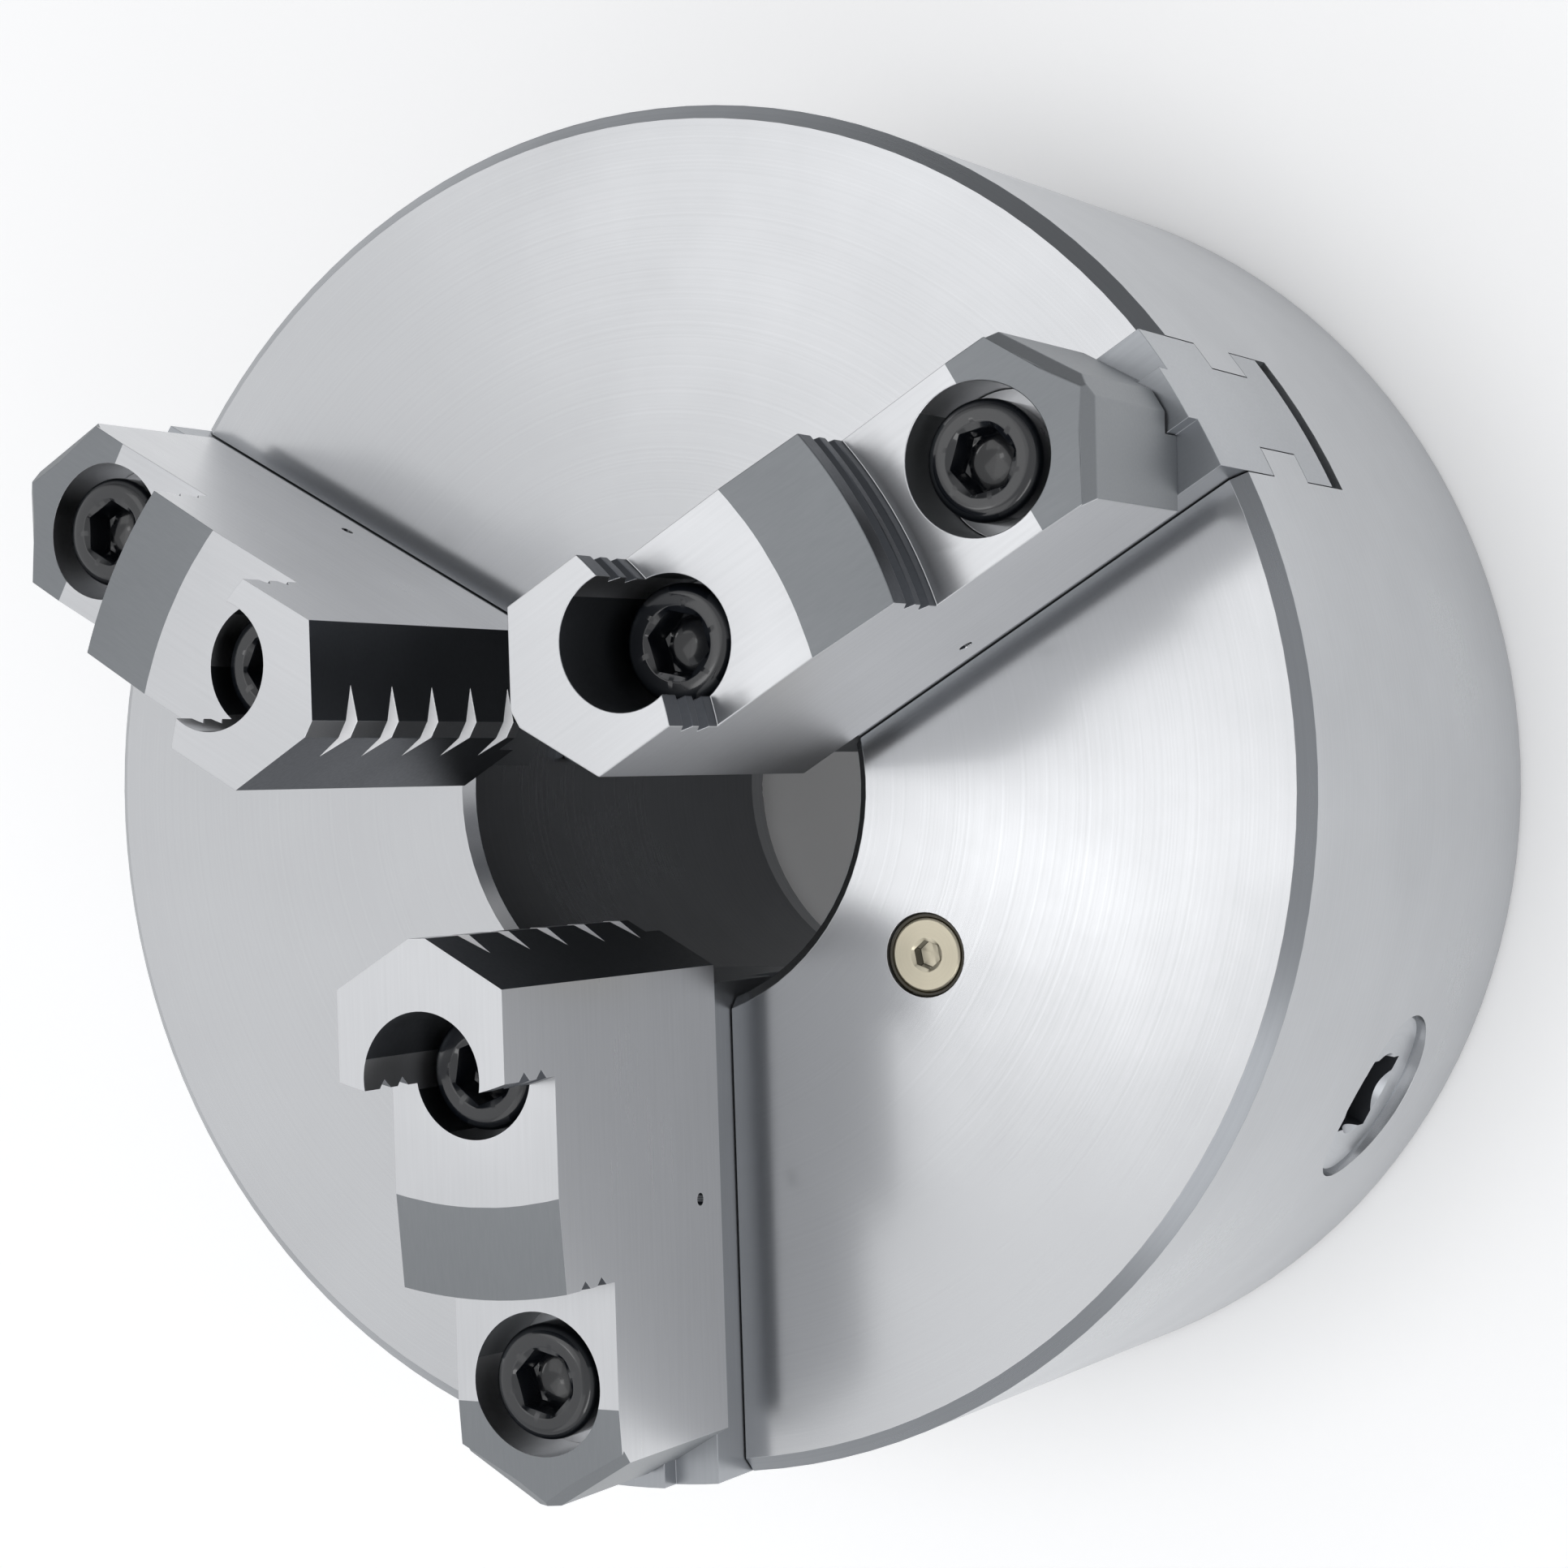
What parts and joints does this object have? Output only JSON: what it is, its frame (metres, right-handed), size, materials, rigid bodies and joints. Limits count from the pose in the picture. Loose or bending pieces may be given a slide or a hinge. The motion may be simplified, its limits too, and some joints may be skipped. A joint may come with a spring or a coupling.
{
  "type": "three-jaw lathe chuck",
  "caption": "Self-centring scroll chuck for a lathe: a steel drum body with stepped two-piece reversible jaws that a square-socket pinion opens and closes.",
  "frame": {"origin": "centre of the rear mounting face, on the spindle axis", "axes": "+Z along the spindle axis towards the jaws, which point up; the first jaw lies 30 degrees from +X, the third along -Y"},
  "size_m": [0.2, 0.2, 0.1645],
  "materials": {
    "ground_steel": "fine turned and ground, satin",
    "turned_steel": "turned, lightly oiled",
    "pinion_steel": "turned and hardened",
    "master_jaw_steel": "ground",
    "jaw_steel": "ground, hardened",
    "black_oxide": "black oxide, oiled",
    "plug_metal": "pale plated, turned"
  },
  "bodies": {
    "chuck": {"chuck_body": "ground_steel", "back_cover": "turned_steel", "back_cover_screws": "black_oxide", "pinion_retaining_screws": "black_oxide", "oil_plug": "plug_metal"},
    "scroll": {"scroll_plate": "turned_steel"},
    "jaw_1": {"master_jaw_1": "master_jaw_steel", "top_jaw_1": "jaw_steel", "cross_key_1": "master_jaw_steel", "inner_jaw_screw_1": "black_oxide", "outer_jaw_screw_1": "black_oxide"},
    "jaw_2": {"master_jaw_2": "master_jaw_steel", "top_jaw_2": "jaw_steel", "cross_key_2": "master_jaw_steel", "inner_jaw_screw_2": "black_oxide", "outer_jaw_screw_2": "black_oxide"},
    "jaw_3": {"master_jaw_3": "master_jaw_steel", "top_jaw_3": "jaw_steel", "cross_key_3": "master_jaw_steel", "inner_jaw_screw_3": "black_oxide", "outer_jaw_screw_3": "black_oxide"},
    "pinion_1": {"pinion_1": "pinion_steel"},
    "pinion_2": {"pinion_2": "pinion_steel"},
    "pinion_3": {"pinion_3": "pinion_steel"}
  },
  "joints": [
    {"name": "scroll_turn", "type": "hinge", "parent": "chuck", "child": "scroll", "pos_m": [0, 0, 0.055], "axis": [0, 0, 1], "range_deg": [-720, 612]},
    {"name": "jaw_1_slide", "type": "slide", "parent": "chuck", "child": "jaw_1", "axis": [0.866, 0.5, 0], "range_m": [-0.0171, 0.0201]},
    {"name": "jaw_2_slide", "type": "slide", "parent": "chuck", "child": "jaw_2", "axis": [-0.866, 0.5, 0], "range_m": [-0.0171, 0.0201]},
    {"name": "jaw_3_slide", "type": "slide", "parent": "chuck", "child": "jaw_3", "axis": [0, -1, 0], "range_m": [-0.0171, 0.0201]},
    {"name": "pinion_1_turn", "type": "hinge", "parent": "chuck", "child": "pinion_1", "pos_m": [0.06062, -0.035, 0.036], "axis": [0.866, -0.5, 0], "range_deg": [-4285, 5041]},
    {"name": "pinion_2_turn", "type": "hinge", "parent": "chuck", "child": "pinion_2", "pos_m": [0, 0.07, 0.036], "axis": [0, 1, 0], "range_deg": [-4285, 5041]},
    {"name": "pinion_3_turn", "type": "hinge", "parent": "chuck", "child": "pinion_3", "pos_m": [-0.06062, -0.035, 0.036], "axis": [-0.866, -0.5, 0], "range_deg": [-4285, 5041]}
  ],
  "couplings": [
    {"joint": "jaw_1_slide", "follows": "scroll_turn", "m_per_rad": -0.0015915},
    {"joint": "jaw_2_slide", "follows": "scroll_turn", "m_per_rad": -0.0015915},
    {"joint": "jaw_3_slide", "follows": "scroll_turn", "m_per_rad": -0.0015915},
    {"joint": "pinion_1_turn", "follows": "scroll_turn", "ratio": -7},
    {"joint": "pinion_2_turn", "follows": "scroll_turn", "ratio": -7},
    {"joint": "pinion_3_turn", "follows": "scroll_turn", "ratio": -7}
  ]
}
